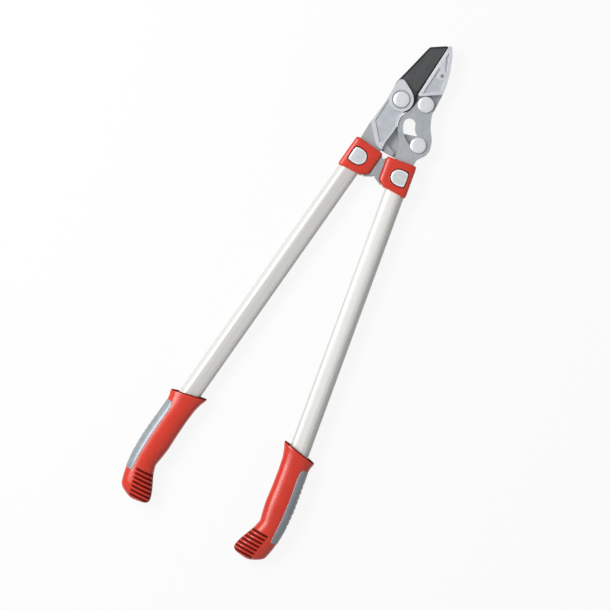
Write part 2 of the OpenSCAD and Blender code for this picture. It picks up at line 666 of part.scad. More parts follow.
module grooves() {
  for (i = [0 : groove_n - 1]) {
    f = i / (groove_n - 1);
    u0 = (groove_u_shares[0] * (1 - f) + groove_u_shares[1] * f) * grip_w;
    v0 = (groove_v_shares[0] * (1 - f) + groove_v_shares[1] * f) * grip_len + grip_from;
    u1 = -grip_w * 1.4;
    translate([0, 0, -grip_h]) linear_extrude(grip_h * 2) polygon([
      [u0, -v0 - groove_tilt_share * u0], [u0 - groove_w, -v0 - groove_tilt_share * u0 + groove_w / 2],
      [u1, -v0 - groove_tilt_share * u1 + groove_w / 2], [u1, -v0 - groove_tilt_share * u1 - groove_w / 2],
      [u0 - groove_w, -v0 - groove_tilt_share * u0 - groove_w / 2]
    ]);
  }
}
module grip() {
  color([0.85, 0.22, 0.14]) difference() {
    grip_body(0);
    along_tube(grip_from - grip_w, grip_from + tube_in_grip + fit_gap) tube_section(fit_gap);
    intersection() {
      pad_zone();
      difference() {
        grip_body(pad_t);
        grip_body(-pad_t);
      }
    }
    intersection() {
      grooves();
      difference() {
        grip_body(groove_depth);
        grip_body(-groove_depth);
      }
    }
  }
}
module grip_pad() {
  color([0.6, 0.63, 0.66]) intersection() {
    pad_zone();
    difference() {
      grip_body(pad_proud);
      grip_body(-pad_t);
    }
  }
}

module left_tube() { at_handle(-1) tube(); }
module left_tube_rivet() { at_handle(-1) rivet(); }
module left_collar() { at_handle(-1) collar(left_neck_w, 0, -tang_t / 2, tang_t / 2); }
module left_collar_caps() { at_handle(-1) caps(); }
module left_bumper() { at_handle(-1) bumper(); }
module left_grip() { at_handle(-1) grip(); }
module left_grip_pad() { at_handle(-1) grip_pad(); }
module right_tube() { at_handle(1) tube(); }
module right_tube_rivet() { at_handle(1) rivet(); }
module right_collar() {
  at_handle(1) collar(right_neck_w, right_neck_out, -blade_t / 2, slotted_t - blade_t / 2);
}
module right_collar_caps() { at_handle(1) caps(); }
module right_bumper() { at_handle(1) bumper(); }
module right_grip() { at_handle(1) grip(); }
module right_grip_pad() { at_handle(1) grip_pad(); }

blade();
blade_lever();
blade_screw();
main_pivot_bolt();
main_pivot_washer();
main_pivot_nut();
cam_pin();
cam_sleeve();
cam_nut();
left_tube();
left_tube_rivet();
left_collar();
left_collar_caps();
left_bumper();
left_grip();
left_grip_pad();
anvil_jaw();
anvil_strip();
anvil_screw();
anvil_bush();
link_pivot_bolt();
link_pivot_nut();
slotted_lever();
lever_bush();
right_tube();
right_tube_rivet();
right_collar();
right_collar_caps();
right_bumper();
right_grip();
right_grip_pad();
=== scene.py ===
"""Dresses an anvil lopper: cast head, coated blade, satin tubes, red moulded grips with soft pads."""
import json
from math import acos, cos, pi, radians, sin, sqrt

import bmesh
import bpy
from mathutils import Matrix, Vector


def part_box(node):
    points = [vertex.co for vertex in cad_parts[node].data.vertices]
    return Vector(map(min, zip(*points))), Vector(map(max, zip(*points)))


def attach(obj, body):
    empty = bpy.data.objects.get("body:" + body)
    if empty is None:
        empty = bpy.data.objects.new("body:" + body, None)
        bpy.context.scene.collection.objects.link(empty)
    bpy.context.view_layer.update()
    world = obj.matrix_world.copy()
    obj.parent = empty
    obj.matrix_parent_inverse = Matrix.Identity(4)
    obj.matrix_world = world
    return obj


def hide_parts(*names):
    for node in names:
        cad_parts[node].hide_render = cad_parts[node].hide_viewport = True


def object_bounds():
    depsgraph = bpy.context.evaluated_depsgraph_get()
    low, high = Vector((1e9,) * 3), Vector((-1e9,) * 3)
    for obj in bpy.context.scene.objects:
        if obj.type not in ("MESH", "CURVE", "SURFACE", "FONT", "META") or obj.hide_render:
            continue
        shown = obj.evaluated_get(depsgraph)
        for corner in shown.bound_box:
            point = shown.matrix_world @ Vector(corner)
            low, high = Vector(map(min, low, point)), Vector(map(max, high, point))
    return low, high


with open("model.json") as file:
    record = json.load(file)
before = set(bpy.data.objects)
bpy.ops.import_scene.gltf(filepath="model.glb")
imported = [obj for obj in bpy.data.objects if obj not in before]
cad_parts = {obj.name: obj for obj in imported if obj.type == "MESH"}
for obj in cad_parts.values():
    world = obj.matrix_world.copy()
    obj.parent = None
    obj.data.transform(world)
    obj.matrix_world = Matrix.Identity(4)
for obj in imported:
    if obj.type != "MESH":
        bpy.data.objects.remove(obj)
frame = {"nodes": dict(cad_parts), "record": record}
cad_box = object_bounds()
nodes = frame["nodes"]
mm = 0.001

# Which body carries each node
carrier = {
    node: body
    for body, members in frame["record"]["behaviour"]["bodies"].items()
    for node in members
}

# The handles' own frame: across and down from the main pivot, then out along the lean
handle_mid_x = 15.6 * mm
tube_spread = 29.9 * mm
collar_y = 74.2 * mm
handle_lean = radians(7.5)
tube_low, tube_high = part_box("left_tube")
mid_z = (tube_low.z + tube_high.z) / 2
tube_h = tube_high.z - tube_low.z
tube_w = 28.8 * mm
tube_wall = 1.6 * mm
tube_from = 11 * mm
grip_from = 421 * mm
tube_in_grip = 95 * mm
sides = {"left": -1, "right": 1}


def handle_frame(side):
    """Places a shape drawn along one handle, with x outward and y up the tube from the collar top."""
    mirror = Matrix.Diagonal((side, 1, 1, 1))
    lean = Matrix.Rotation(handle_lean, 4, "Z")
    return (Matrix.Translation((handle_mid_x, 0, mid_z)) @ mirror
            @ Matrix.Translation((tube_spread, -collar_y, 0)) @ lean)


# Mesh helpers
same_spot = 0.005 * mm
# How a solid is cleaned before its edges are rounded
near_spot = 0.02 * mm
flat_within = radians(1.5)
least_edge = 0.15 * mm
sharp_from = radians(28)
# Level faces by the height of their normal; rims lie this near the top, and low faces this far below it
# are darkened with painted shade
level_from = 0.9
rim_drop = 0.4 * mm
low_drop = 1.6 * mm
low_over = 2.4 * mm
# The average that eases a table of shares: its reach, least reach, taps, and how far their weight falls
ease_reach = 0.016
ease_least = 0.004
ease_taps = 4
ease_fall = 0.8


def shaped(name, points, faces, finish):
    """A new object from points and faces, smooth, with one finish."""
    mesh = bpy.data.meshes.new(name)
    mesh.from_pydata(points, [], faces)
    mesh.materials.append(finish)
    mesh.shade_smooth()
    thing = bpy.data.objects.new(name, mesh)
    bpy.context.collection.objects.link(thing)
    return thing


def turned_over(faces):
    """Faces that look the other way."""
    return [tuple(reversed(face)) for face in faces]


def on_handle(name, side, points, faces, finish):
    """A shape drawn in a handle's own frame, set on the left or the right handle."""
    place = handle_frame(side)
    placed = [place @ Vector(p) for p in points]
    return shaped(name, placed, faces if side > 0 else turned_over(faces), finish)


def stands_for(thing, slot, *replaced):
    """The piece rides with the body of the nodes that it replaces."""
    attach(thing, carrier[replaced[0]])
    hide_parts(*replaced)


def settled(thing):
    """The piece with its modifiers turned into plain mesh."""
    seen = thing.evaluated_get(bpy.context.evaluated_depsgraph_get())
    mesh = bpy.data.meshes.new_from_object(seen)
    thing.modifiers.clear()
    thing.data = mesh
    return thing


def skin(rows, count, first=0):
    """Quads between rows of points that each close on themselves."""
    return [
        (first + i * count + j, first + i * count + (j + 1) % count,
         first + (i + 1) * count + (j + 1) % count, first + (i + 1) * count + j)
        for i in range(rows - 1) for j in range(count)
    ]


def closed_skin(rows, count, first=0):
    """Rows of points skinned over, with a face across each end."""
    ends = [tuple(reversed(range(first, first + count))),
            tuple(range(first + (rows - 1) * count, first + rows * count))]
    return skin(rows, count, first) + ends


def rounded_loop(points, rounds):
    """A closed outline with its corners cut again and again until it is smooth."""
    for _ in range(rounds):
        cut = []
        for a, b in zip(points, points[1:] + points[:1]):
            cut.append((0.75 * a[0] + 0.25 * b[0], 0.75 * a[1] + 0.25 * b[1]))
            cut.append((0.25 * a[0] + 0.75 * b[0], 0.25 * a[1] + 0.75 * b[1]))
        points = cut
    return points


def read_table(table, place):
    """A value from a table of shares, on straight lines between its rows."""
    if place <= table[0][0]:
        return table[0][1]
    for (p, a), (q, b) in zip(table, table[1:]):
        if place <= q:
            return a + (b - a) * (place - p) / (q - p)
    return table[-1][1]


def eased(table, place, reach=ease_reach):
    """The table's value, averaged over a short reach so that the lines join smoothly."""
    reach = min(reach, max(place, ease_least), max(1 - place, ease_least))
    taps = [k / ease_taps for k in range(-ease_taps, ease_taps + 1)]
    weights = [1 - abs(t) * ease_fall for t in taps]
    total = sum(w * read_table(table, place + t * reach) for t, w in zip(taps, weights))
    return total / sum(weights)


def bent(value, power):
    """One coordinate of a rounded square's outline, from a cosine or a sine."""
    return (1 if value >= 0 else -1) * abs(value) ** (2 / power)


def resampled(outline, count):
    """A closed outline as a number of evenly spaced points, from its first one on."""
    ends = outline + outline[:1]
    lengths = [0.0]
    for (a, b), (c, d) in zip(ends, ends[1:]):
        lengths.append(lengths[-1] + sqrt((c - a) ** 2 + (d - b) ** 2))
    made, i = [], 0
    for k in range(count):
        want = lengths[-1] * k / count
        while lengths[i + 1] < want:
            i += 1
        t = (want - lengths[i]) / (lengths[i + 1] - lengths[i])
        (a, b), (c, d) = ends[i], ends[i + 1]
        made.append((a + (c - a) * t, b + (d - b) * t))
    return made


def rolled_over(outline, reach):
    """A closed outline with each point at the middle of its neighbours, which rolls its ridges over."""
    count, span = len(outline), 2 * reach + 1
    steps = range(-reach, reach + 1)
    return [
        tuple(sum(outline[(i + k) % count][axis] for k in steps) / span for axis in (0, 1))
        for i in range(count)
    ]


def prism(outline, low, high):
    """A straight block over an outline."""
    count = len(outline)
    points = [(x, y, z) for z in (low, high) for x, y in outline]
    return points, closed_skin(2, count)


def keep_marks(thing, **marks):
    """Keeps numbers on the points of a piece, under their names."""
    for name, values in marks.items():
        mark = thing.data.attributes.new(name, "FLOAT", "POINT")
        mark.data.foreach_set("value", values)


def weld(thing, least):
    """Merges the piece's doubled points and keeps edges sharper than an angle sharp."""
    shape = bmesh.new()
    shape.from_mesh(thing.data)
    bmesh.ops.remove_doubles(shape, verts=shape.verts, dist=same_spot)
    shape.to_mesh(thing.data)
    shape.free()
    thing.data.shade_smooth()
    thing.data.set_sharp_from_angle(angle=radians(least))


def join(thing, others):
    """One mesh from a piece and others."""
    shape = bmesh.new()
    for part in [thing] + others:
        shape.from_mesh(part.data)
    shape.to_mesh(thing.data)
    shape.free()
    for part in others:
        bpy.data.objects.remove(part)


def softened(node, radius, finish, steps=3, top_rim_wear_and_sheen=0.0):
    """A copy of a node with its flat faces joined and its sharp edges rounded.

    The rounds are marked as worn and lit, the topmost faces by the share rubbed, both partly a painted
    highlight, and faces well below them as sunk, for painted shade.
    """
    shape = bmesh.new()
    shape.from_mesh(nodes[node].data)
    bmesh.ops.remove_doubles(shape, verts=shape.verts, dist=near_spot)
    bmesh.ops.dissolve_limit(shape, angle_limit=flat_within, verts=shape.verts, edges=shape.edges)
    bmesh.ops.dissolve_degenerate(shape, dist=least_edge, edges=shape.edges)
    sharp = [e for e in shape.edges if len(e.link_faces) == 2 and e.calc_face_angle() > sharp_from]
    made = bmesh.ops.bevel(
        shape, geom=sharp, offset=radius, offset_type="OFFSET", segments=steps, profile=0.5,
        affect="EDGES", clamp_overlap=True,
    )
    worn = shape.loops.layers.float_color.new("worn")
    sunk = shape.loops.layers.float_color.new("sunk")
    top = max(v.co.z for v in shape.verts)
    rounds = set(made["faces"])
    for face in shape.faces:
        drop = top - face.calc_center_median().z
        level = face.normal.z > level_from
        # Rounds and top rims: wear, and partly a painted highlight
        brightening = 1.0 if face in rounds else top_rim_wear_and_sheen if level and drop < rim_drop else 0.0
        # Low faces: painted shade, deeper the further they lie below the top
        deep = min(1.0, max(0.0, (drop - low_drop) / low_over)) if level else 0.0
        for corner in face.loops:
            corner[worn] = (brightening, brightening, brightening, 1)
            corner[sunk] = (deep, deep, deep, 1)
    mesh = bpy.data.meshes.new(node + "_dressed")
    shape.to_mesh(mesh)
    shape.free()
    mesh.materials.append(finish)
    mesh.shade_smooth()
    thing = bpy.data.objects.new(mesh.name, mesh)
    bpy.context.collection.objects.link(thing)
    weigh = thing.modifiers.new("flat faces stay flat", "WEIGHTED_NORMAL")
    weigh.keep_sharp = True
    return settled(thing)


# Finishes; noise keeps mostly to this middle part of its range
noise_low, noise_high = 0.3, 0.7


def tone(red, green, blue):
    """A screen colour, 0 to 255, as the linear colour that a shader takes."""
    return tuple(
        c / 255 / 12.92 if c / 255 <= 0.04045 else ((c / 255 + 0.055) / 1.055) ** 2.4
        for c in (red, green, blue)
    )


class Wiring:
    """A node tree that is built node by node."""

    def add(self, kind, inputs=None, **settings):
        """A new node, with its settings made and its inputs fed."""
        node = self.tree.nodes.new(kind)
        for name, value in settings.items():
            setattr(node, name, value)
        for key, value in (inputs or {}).items():
            self.feed(node.inputs[key], value)
        return node

    def feed(self, socket, value):
        """A link into a socket, or a plain value on it."""
        if isinstance(value, bpy.types.NodeSocket):
            self.tree.links.new(value, socket)
        else:
            socket.default_value = value

    def total(self, first, second, way="ADD"):
        """Two values joined by one sum."""
        return self.add("ShaderNodeMath", {0: first, 1: second}, operation=way).outputs["Value"]

    def times(self, first, second):
        """Two values multiplied."""
        return self.total(first, second, "MULTIPLY")

    def ranged(self, value, low, high, first=0.0, last=1.0, way="LINEAR"):
        """The value's range from first to last, laid onto low to high."""
        node = self.add("ShaderNodeMapRange", {
            "Value": value, "From Min": first, "From Max": last, "To Min": low, "To Max": high,
        }, interpolation_type=way)
        return node.outputs["Result"]


class Finish(Wiring):
    """One material on Object coordinates in metres."""

    def __init__(self, name, colour, roughness, metallic=0.0, shine=0.5):
        self.material = bpy.data.materials.new(name)
        self.material.use_nodes = True
        self.tree = self.material.node_tree
        self.shader = self.tree.nodes["Principled BSDF"]
        for label, value in (
            ("Base Color", (*colour, 1)), ("Roughness", roughness), ("Metallic", metallic),
            ("Specular IOR Level", shine),
        ):
            self.shader.inputs[label].default_value = value
        self.place = self.add("ShaderNodeTexCoord").outputs["Object"]

    def drawn_out(self, along, across, turn=0.0):
        """Coordinates for a grain that is long one way: sizes along y and across it, turned about z."""
        turned = self.add("ShaderNodeMapping", {"Vector": self.place, "Rotation": (0, 0, turn)})
        sized = self.add("ShaderNodeMapping", {
            "Vector": turned.outputs["Vector"], "Scale": (1 / across, 1 / along, 1 / across),
        })
        return sized.outputs["Vector"]

    def grain(self, size, detail=3.0, place=None, distortion=0.0):
        """Cloudy noise with grains of one size, from 0 to 1."""
        noise = self.add("ShaderNodeTexNoise", {
            "Vector": place or self.place, "Scale": 1.0 if place else 1 / size, "Detail": detail,
            "Distortion": distortion,
        })
        return noise.outputs["Fac"]

    def spread(self, noise, low=0.0, high=1.0):
        """Noise laid onto low to high from the part of its range that it mostly keeps to."""
        return self.ranged(noise, low, high, noise_low, noise_high)

    def pits(self, size):
        """Small round pits of one size: the distance from their middles."""
        cells = self.add("ShaderNodeTexVoronoi", {"Vector": self.place, "Scale": 1 / size})
        return cells.outputs["Distance"]

    def layered(self, amount, under, over):
        """A colour laid over another by an amount."""
        node = self.add("ShaderNodeMix", {
            "Factor": amount, 6: under if isinstance(under, bpy.types.NodeSocket) else (*under, 1),
            7: over if isinstance(over, bpy.types.NodeSocket) else (*over, 1),
        }, data_type="RGBA")
        return node.outputs[2]

    def mottled(self, noise, dark, light):
        """A colour that drifts between two screen colours with the noise."""
        return self.layered(self.spread(noise), tone(*dark), tone(*light))

    def mark(self, name):
        """A mark that the piece's own mesh carries, such as its worn edges, which carry a painted
        highlight as well.
        """
        return self.add("ShaderNodeAttribute", attribute_name=name).outputs["Fac"]

    def paint(self, colour, roughness, *bumps):
        """The material, with its colour, its roughness, and bumps of real depths over one another."""
        self.feed(self.shader.inputs["Base Color"], colour)
        self.feed(self.shader.inputs["Roughness"], roughness)
        for height, depth in bumps:
            bump = self.add("ShaderNodeBump", {"Height": height, "Distance": depth, "Strength": 1.0})
            for link in self.shader.inputs["Normal"].links:
                self.feed(bump.inputs["Normal"], link.from_socket)
            self.feed(self.shader.inputs["Normal"], bump.outputs["Normal"])
        return self.material


def cast_silver():
    """Satin cast alloy: sandy skin, slow tone changes, edges and rims brighter from wear and a painted
    highlight, and low levels darkened with painted shade.
    """
    f = Finish("cast_silver", tone(184, 189, 196), 0.42, 0.3)
    cloud = f.grain(9 * mm, 4)
    sand = f.grain(0.45 * mm, 3)
    skin_tone = f.mottled(cloud, (177, 182, 189), (192, 196, 202))
    # Painted shade: faces well below the top turn a dark brownish grey
    low = f.times(f.mark("sunk"), f.spread(cloud, 0.26, 0.44))
    skin_tone = f.layered(low, skin_tone, tone(112, 108, 104))
    sandy = f.layered(f.ranged(sand, 0, 0.3, 0.35, 0.75), skin_tone, tone(140, 145, 152))
    # Worn edges and rims, lightened partly as a painted highlight
    edge = f.times(f.mark("worn"), f.spread(f.grain(1.6 * mm, 4), 0.82, 1.0))
    colour = f.layered(edge, sandy, tone(228, 231, 234))
    rough = f.total(f.ranged(cloud, 0.38, 0.5), f.ranged(edge, 0, -0.12))
    return f.paint(colour, rough, (sand, 0.016 * mm))


def lever_steel():
    """Shot-blasted forged steel: even grey with fine pits, and edges lightened by wear and a painted
    highlight.
    """
    f = Finish("lever_steel", tone(152, 156, 161), 0.42, 0.3)
    cloud = f.grain(14 * mm, 4)
    peen = f.pits(0.7 * mm)
    colour = f.mottled(cloud, (159, 164, 168), (172, 177, 181))
    # Worn edges, lightened partly as a painted highlight
    edge = f.ranged(f.mark("worn"), 0, 0.35)
    colour = f.layered(edge, colour, tone(188, 192, 197))
    return f.paint(colour, f.ranged(cloud, 0.36, 0.47), (peen, 0.018 * mm))


def blade_coating():
    """Low-friction dark coating with fine speckle and faint wiping marks."""
    f = Finish("blade_coating", tone(70, 71, 73), 0.45, shine=0.3)
    speck = f.grain(0.3 * mm, 2)
    wipe = f.grain(1, 3, f.drawn_out(30 * mm, 0.6 * mm, radians(-5)))
    cloud = f.grain(11 * mm, 3)
    colour = f.mottled(cloud, (70, 71, 73), (80, 81, 83))
    colour = f.layered(f.ranged(speck, 0, 0.4, 0.45, 0.75), colour, tone(98, 99, 101))
    return f.paint(colour, f.ranged(wipe, 0.38, 0.54, 0.25, 0.75), (speck, 0.02 * mm))


def ground_and_shade_band():
    """The band round the blade's faces: near black, partly its ground bevel and partly painted shade
    along its edges, with grinding lines across the edge.
    """
    f = Finish("ground_and_shade_band", tone(26, 27, 29), 0.34, shine=0.3)
    lines = f.grain(1, 4, f.drawn_out(0.25 * mm, 9 * mm, radians(-5)))
    colour = f.layered(f.ranged(lines, 0, 1, 0.25, 0.75), tone(20, 21, 22), tone(40, 41, 44))
    return f.paint(colour, f.ranged(lines, 0.26, 0.44, 0.2, 0.8), (lines, 0.015 * mm))


def polished_pin():
    """Bright turned pin heads: fine rings about the middle, a few hairline scratches."""
    f = Finish("polished_pin", tone(216, 219, 222), 0.24, 0.55)
    ring = f.add("ShaderNodeTexNoise", {
        "W": f.times(f.mark("turned"), 1 / (0.22 * mm)), "Scale": 1.0, "Detail": 2.0,
    }, noise_dimensions="1D").outputs["Fac"]
    scratch = f.grain(1, 2, f.drawn_out(14 * mm, 0.12 * mm, radians(37)))
    colour = f.mottled(ring, (208, 211, 214), (224, 226, 228))
    hair = f.ranged(scratch, 0, 0.16, 0.6, 0.75)
    return f.paint(colour, f.total(f.spread(ring, 0.18, 0.28), hair), (ring, 0.008 * mm))


def zinc_steel():
    """Zinc-plated nuts, washers, screws and rivets, slightly mottled."""
    f = Finish("zinc_steel", tone(158, 162, 166), 0.34, 0.6)
    bloom = f.grain(3 * mm, 4, distortion=0.8)
    colour = f.mottled(bloom, (142, 148, 156), (174, 174, 170))
    return f.paint(colour, f.ranged(bloom, 0.28, 0.42), (f.grain(0.4 * mm, 2), 0.015 * mm))


def bronze():
    """Oiled sintered bronze of the bushes and the cam sleeve."""
    f = Finish("bronze", tone(176, 140, 88), 0.36, 0.8)
    pore = f.pits(0.35 * mm)
    cloud = f.grain(4 * mm, 3)
    colour = f.mottled(cloud, (160, 124, 74), (190, 156, 104))
    colour = f.layered(f.ranged(pore, 0.5, 0, 0.05, 0.35), colour, tone(86, 62, 34))
    return f.paint(colour, f.ranged(cloud, 0.3, 0.45), (pore, 0.02 * mm))


def soft_strip():
    """Soft aluminium anvil strip with a scored face."""
    f = Finish("soft_strip", tone(218, 221, 224), 0.55, 0.15)
    score = f.grain(1, 3, f.drawn_out(20 * mm, 0.4 * mm, radians(-5)))
    colour = f.mottled(score, (213, 216, 219), (224, 226, 228))
    return f.paint(colour, f.ranged(score, 0.5, 0.6), (score, 0.003 * mm))


def satin_aluminium(side):
    """Drawn tube, satin anodised: long faint lines that run down the handle."""
    f = Finish("satin_aluminium_" + side, tone(216, 217, 217), 0.36, 0.12)
    turn = handle_lean if side == "left" else -handle_lean
    lines = f.grain(1, 4, f.drawn_out(120 * mm, 0.35 * mm, turn))
    streak = f.grain(1, 3, f.drawn_out(200 * mm, 3 * mm, turn))
    speck = f.grain(0.25 * mm, 2)
    colour = f.mottled(streak, (210, 209, 206), (222, 221, 217))
    colour = f.layered(f.ranged(lines, 0, 0.16, 0.5, 0.8), colour, tone(192, 194, 197))
    rough = f.total(f.ranged(lines, 0.3, 0.42, 0.25, 0.75), f.ranged(speck, -0.03, 0.03))
    return f.paint(colour, rough, (lines, 0.004 * mm))


def red_plastic():
    """Glossy red moulding with a faint orange-peel skin; its grooves and hollows are darkened with
    painted shade.
    """
    f = Finish("red_plastic", tone(215, 38, 8), 0.25)
    peel = f.grain(1.1 * mm, 2)
    fine = f.grain(0.25 * mm, 2)
    cloud = f.grain(22 * mm, 3)
    colour = f.mottled(cloud, (210, 39, 6), (220, 47, 9))
    # Painted shade in grooves, the grip's mouth and the windows' floors, which also lose their shine
    # there
    deep = f.ranged(f.mark("carved"), 0, 0.92)
    colour = f.layered(deep, colour, tone(78, 5, 3))
    f.feed(f.shader.inputs["Specular IOR Level"], f.ranged(deep, 0.55, 0.06))
    rough = f.total(f.ranged(fine, 0.22, 0.28, 0.25, 0.75), f.ranged(deep, 0, 0.4))
    return f.paint(colour, rough, (peel, 0.005 * mm), (fine, 0.0012 * mm))


def cap_silver():
    """Satin chrome on the collars' caps, with a painted highlight round the rim."""
    f = Finish("cap_silver", tone(204, 208, 211), 0.26, 0.45)
    cloud = f.grain(5 * mm, 3)
    fine = f.grain(0.3 * mm, 2)
    colour = f.mottled(cloud, (198, 202, 205), (211, 213, 214))
    # Painted highlight on the cap's rounded rim
    colour = f.layered(f.ranged(f.mark("worn"), 0, 0.8), colour, tone(236, 238, 239))
    return f.paint(colour, f.ranged(cloud, 0.22, 0.32), (fine, 0.012 * mm))


def grey_rubber():
    """Firm grey rubber of the bumpers, with a dull moulded skin."""
    f = Finish("grey_rubber", tone(160, 167, 170), 0.6, shine=0.35)
    moulded = f.pits(0.6 * mm)
    cloud = f.grain(6 * mm, 3)
    colour = f.mottled(cloud, (154, 161, 165), (167, 173, 176))
    scuff = f.times(f.mark("worn"), f.ranged(f.grain(2 * mm, 3), 0.1, 0.6, 0.35, 0.7))
    colour = f.layered(scuff, colour, tone(186, 191, 194))
    return f.paint(colour, f.ranged(cloud, 0.54, 0.68), (moulded, 0.04 * mm))


def pad_rubber():
    """Soft grey pad, finely pebbled, with painted shade in its notches and in a seam round it."""
    f = Finish("pad_rubber", tone(136, 145, 153), 0.32, shine=1.0)
    pebble = f.pits(0.55 * mm)
    cloud = f.grain(12 * mm, 3)
    colour = f.mottled(cloud, (129, 138, 146), (143, 152, 160))
    # Painted shade in the notches and the seam
    colour = f.layered(f.ranged(f.mark("carved"), 0, 0.85), colour, tone(52, 54, 58))
    return f.paint(colour, f.ranged(cloud, 0.28, 0.36), (pebble, 0.01 * mm))


# Geometry node trees for what repeats
class Recipe(Wiring):
    """A geometry node tree with named inputs."""

    def __init__(self, name, inputs):
        self.tree = bpy.data.node_groups.new(name, "GeometryNodeTree")
        panel = self.tree.interface
        panel.new_socket("Geometry", in_out="INPUT", socket_type="NodeSocketGeometry")
        self.keys = {
            label: panel.new_socket(label, in_out="INPUT", socket_type="NodeSocket" + kind).identifier
            for label, kind in inputs.items()
        }
        panel.new_socket("Geometry", in_out="OUTPUT", socket_type="NodeSocketGeometry")
        self.given = self.tree.nodes.new("NodeGroupInput").outputs
        self.result = self.tree.nodes.new("NodeGroupOutput").inputs["Geometry"]

    def mark(self, name):
        """A value that the piece's own mesh carries."""
        node = self.add("GeometryNodeInputNamedAttribute", {"Name": name}, data_type="FLOAT")
        return node.outputs["Attribute"]

    def stored(self, shape, name, value):
        """The shape with a value kept on its points."""
        node = self.add("GeometryNodeStoreNamedAttribute", {
            "Geometry": shape, "Name": name, "Value": value,
        }, data_type="FLOAT", domain="POINT")
        return node.outputs["Geometry"]

    def joined(self, *shapes):
        """Several shapes as one."""
        node = self.add("GeometryNodeJoinGeometry")
        for shape in reversed(shapes):
            self.tree.links.new(shape, node.inputs["Geometry"])
        return node.outputs["Geometry"]

    def close(self, shape):
        """Ends the tree: smooth shading, real meshes and the finish."""
        smooth = self.add("GeometryNodeSetShadeSmooth", {"Geometry": shape})
        real = self.add("GeometryNodeRealizeInstances", {"Geometry": smooth.outputs["Geometry"]})
        painted = self.add("GeometryNodeSetMaterial", {
            "Geometry": real.outputs["Geometry"], "Material": self.given["Finish"],
        })
        self.feed(self.result, painted.outputs["Geometry"])

    def run(self, thing, values):
        """Sets the tree to work on a piece and keeps what it made as plain mesh."""
        work = thing.modifiers.new(self.tree.name, "NODES")
        work.node_group = self.tree
        for label, value in values.items():
            work[self.keys[label]] = value
        return settled(thing)


# A notch is full depth to the first share of its width from its middle, and gone at the second
notch_bed_share, notch_brim_share = 0.25, 0.6
shank_sides = 40


def carved_rows_tree():
    """Cuts evenly spaced notches into a skin, by the marks along and across that its points carry."""
    r = Recipe("carved_rows", {
        "First": "Float", "Pitch": "Float", "Rows": "Float", "Width": "Float", "Depth": "Float",
        "Fade": "Float", "Side Share": "Float", "Finish": "Material",
    })
    step = r.total(r.total(r.mark("along"), r.given["First"], "SUBTRACT"), r.given["Pitch"], "DIVIDE")
    last = r.total(r.given["Rows"], 1.0, "SUBTRACT")
    nearest = r.total(r.total(r.total(step, 0.5), 0.0, "FLOOR"), 0.0, "MAXIMUM")
    nearest = r.total(nearest, last, "MINIMUM")
    apart = r.total(r.total(step, nearest, "SUBTRACT"), 0.0, "ABSOLUTE")
    away = r.times(apart, r.given["Pitch"])
    bed = r.times(r.given["Width"], notch_bed_share)
    brim = r.times(r.given["Width"], notch_brim_share)
    notch = r.ranged(away, 1.0, 0.0, bed, brim, "SMOOTHSTEP")
    inside = r.times(r.mark("across"), -1.0)
    reach = r.ranged(inside, 0.0, 1.0, 0.0, r.given["Fade"], "SMOOTHSTEP")
    amount = r.times(notch, reach)
    normal = r.add("GeometryNodeInputNormal").outputs["Normal"]
    facing = r.total(r.add("ShaderNodeSeparateXYZ", {0: normal}).outputs["Z"], 0.0, "ABSOLUTE")
    deep = r.times(r.ranged(facing, r.given["Side Share"], 1.0), r.given["Depth"])
    sink = r.times(r.times(amount, deep), -1.0)
    way = r.add("ShaderNodeVectorMath", {0: normal, "Scale": sink}, operation="SCALE")
    moved = r.add("GeometryNodeSetPosition", {
        "Geometry": r.given["Geometry"], "Offset": way.outputs["Vector"],
    })
    # The notches' depth and the hollow marks are kept together as painted shade for the finish
    shade = r.total(amount, r.mark("hollow"), "MAXIMUM")
    r.close(r.stored(moved.outputs["Geometry"], "carved", shade))
    return r


